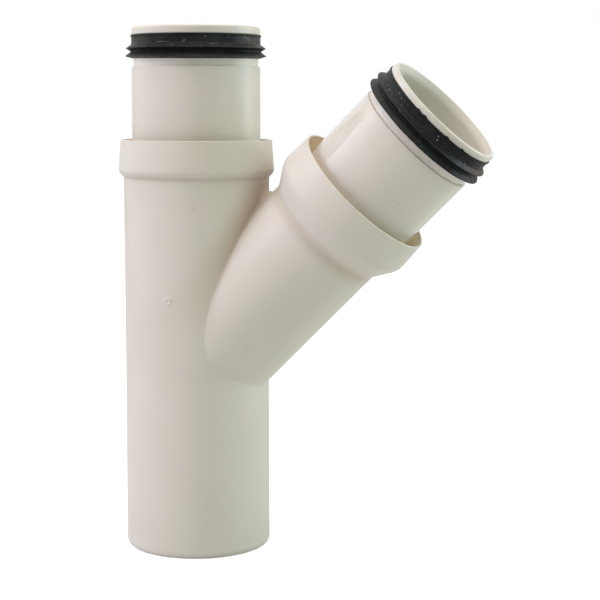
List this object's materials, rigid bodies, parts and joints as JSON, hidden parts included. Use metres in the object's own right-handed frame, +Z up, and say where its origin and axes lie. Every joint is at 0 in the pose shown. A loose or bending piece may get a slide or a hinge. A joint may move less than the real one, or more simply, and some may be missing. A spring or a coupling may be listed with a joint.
{
  "type": "forty-five degree branch fitting",
  "caption": "Slanted branch fitting for push-fit waste pipe: straight tube with an open socket foot, and collared spigots with rubber lip seals on the run and on the forty-five degree branch.",
  "frame": {"origin": "centre of the run's open foot, on the plane of its rim", "axes": "+Z up the run's axis, from the open foot to the upper spigot; the branch leaves towards +X at 45 degrees to +Z; the gate mark faces -Y"},
  "size_m": [0.0827, 0.034, 0.1145],
  "materials": {
    "body_plastic": "warm off-white moulded polypropylene, satin, a little glossier on the spigots",
    "seal_rubber": "black moulded rubber, dull, with pale dust and scuffs on the lips"
  },
  "bodies": {
    "root": {"fitting_body": "body_plastic", "run_seal": "seal_rubber", "branch_seal": "seal_rubber"}
  },
  "joints": []
}
